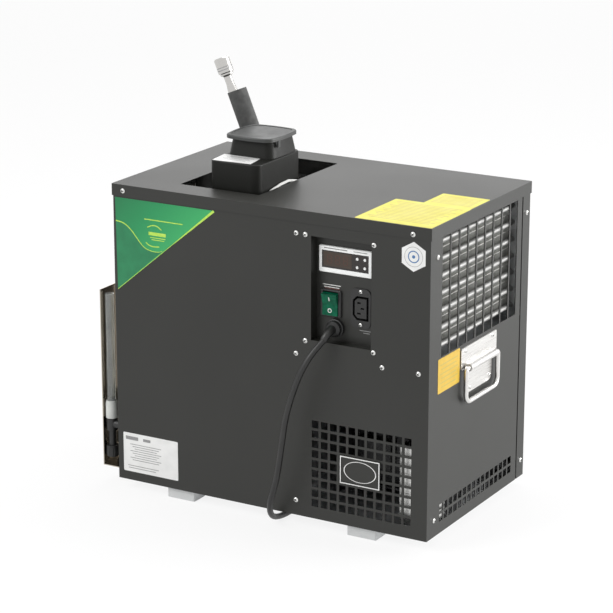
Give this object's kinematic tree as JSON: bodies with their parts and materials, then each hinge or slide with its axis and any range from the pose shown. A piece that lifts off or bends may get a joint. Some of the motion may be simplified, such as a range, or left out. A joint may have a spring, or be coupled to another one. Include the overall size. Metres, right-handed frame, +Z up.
{
  "type": "glycol chiller",
  "caption": "Table-top glycol chiller: sheet-metal cabinet with bath, immersion pump and leaning riser, slotted condenser grille, recessed controls, level tube and drop handles.",
  "frame": {"origin": "middle of the object's box without the free cord, on the floor under the feet", "axes": "+X to the right seen from the front, +Y from front to back, +Z up; the control panel faces -Y"},
  "size_m": [0.5184, 0.4529, 0.5759],
  "materials": {
    "cabinet_paint": "satin black powder coat",
    "stainless": "bright stainless",
    "galvanised": "galvanised sheet",
    "copper": "dull copper tube",
    "aluminium": "plain fins",
    "light_tube": "pale metal tube",
    "black_plastic": "moulded, fine grain",
    "housing_plastic": "moulded housing",
    "cap_plastic": "moulded cap",
    "white_plastic": "moulded bezel",
    "window": "smoked display window",
    "green_plastic": "translucent green rocker",
    "foot_plastic": "light grey moulded foot",
    "foam": "closed-cell foam",
    "clear_tube": "clear tube",
    "translucent_nut": "translucent nut",
    "rubber": "rubber",
    "cord_rubber": "cord jacket",
    "compressor_paint": "black enamel",
    "sensor_sleeve": "pale sleeve",
    "motor_steel": "laminated stack"
  },
  "bodies": {
    "root": {"base_pan": "galvanised", "front_panel": "cabinet_paint", "rear_panel": "cabinet_paint", "left_panel": "cabinet_paint", "right_panel": "cabinet_paint", "lid": "cabinet_paint", "feet": "foot_plastic", "name_plate": "cabinet_paint", "partition": "galvanised", "machine_shelf": "galvanised", "control_tray": "cabinet_paint", "controller_body": "white_plastic", "controller_window": "window", "switch_frame": "black_plastic", "outlet_socket": "black_plastic", "cable_gland": "black_plastic", "strain_relief": "cord_rubber", "tank": "stainless", "tank_insulation": "foam", "drain_pipe": "stainless", "evaporator_coil": "copper", "pump_housing": "housing_plastic", "pump_cap": "cap_plastic", "pump_bracket": "cabinet_paint", "pump_casing": "black_plastic", "riser_pipe": "stainless", "pipe_insulation": "foam", "union_nut": "stainless", "sensor_tube": "sensor_sleeve", "drain_guard": "stainless", "drain_tee": "black_plastic", "level_tube": "clear_tube", "tube_nut": "translucent_nut", "handle_plate_right": "stainless", "handle_plate_left": "stainless", "condenser_tubes": "light_tube", "condenser_fins": "aluminium", "condenser_end_plates": "galvanised", "fan_shroud": "galvanised", "fan_motor": "motor_steel", "compressor": "compressor_paint", "compressor_mounts": "rubber", "suction_line": "copper", "discharge_line": "copper", "liquid_line": "copper", "filter_drier": "copper", "relay_box": "galvanised", "power_cord": "cord_rubber", "cord_coil": "cord_rubber", "mains_plug": "black_plastic"},
    "bail_right": {"handle_bail_right": "stainless"},
    "bail_left": {"handle_bail_left": "stainless"},
    "rocker": {"switch_rocker": "green_plastic"},
    "button_1": {"controller_button_1": "white_plastic"},
    "button_2": {"controller_button_2": "white_plastic"},
    "button_3": {"controller_button_3": "white_plastic"},
    "button_4": {"controller_button_4": "white_plastic"},
    "fan": {"fan_blades": "aluminium"},
    "agitator": {"pump_shaft": "stainless"},
    "drain_cap": {"drain_cap": "black_plastic"}
  },
  "joints": [
    {"name": "bail_right_swing", "type": "hinge", "parent": "root", "child": "bail_right", "pos_m": [0.25425, -0.005, 0.223], "axis": [0, -1, 0], "range_deg": [0, 90]},
    {"name": "bail_left_swing", "type": "hinge", "parent": "root", "child": "bail_left", "pos_m": [-0.23275, -0.005, 0.223], "axis": [0, 1, 0], "range_deg": [0, 90]},
    {"name": "rocker_tip", "type": "hinge", "parent": "root", "child": "rocker", "pos_m": [0.09875, -0.1285, 0.3088], "axis": [-1, 0, 0], "range_deg": [0, 16]},
    {"name": "fan_spin", "type": "hinge", "parent": "root", "child": "fan", "pos_m": [0.18575, -0.001, 0.33295], "axis": [1, 0, 0], "continuous": true},
    {"name": "agitator_spin", "type": "hinge", "parent": "root", "child": "agitator", "pos_m": [-0.06925, -0.02, 0.315], "axis": [0, 0, 1], "continuous": true},
    {"name": "drain_cap_turn", "type": "hinge", "parent": "root", "child": "drain_cap", "pos_m": [-0.24875, -0.126, 0.044], "axis": [0, 0, 1], "range_deg": [0, 360]},
    {"name": "button_1_press", "type": "slide", "parent": "root", "child": "button_1", "axis": [0, 1, 0], "range_m": [0, 0.0008], "stiffness_N_per_m": 400},
    {"name": "button_2_press", "type": "slide", "parent": "root", "child": "button_2", "axis": [0, 1, 0], "range_m": [0, 0.0008], "stiffness_N_per_m": 400},
    {"name": "button_3_press", "type": "slide", "parent": "root", "child": "button_3", "axis": [0, 1, 0], "range_m": [0, 0.0008], "stiffness_N_per_m": 400},
    {"name": "button_4_press", "type": "slide", "parent": "root", "child": "button_4", "axis": [0, 1, 0], "range_m": [0, 0.0008], "stiffness_N_per_m": 400}
  ]
}
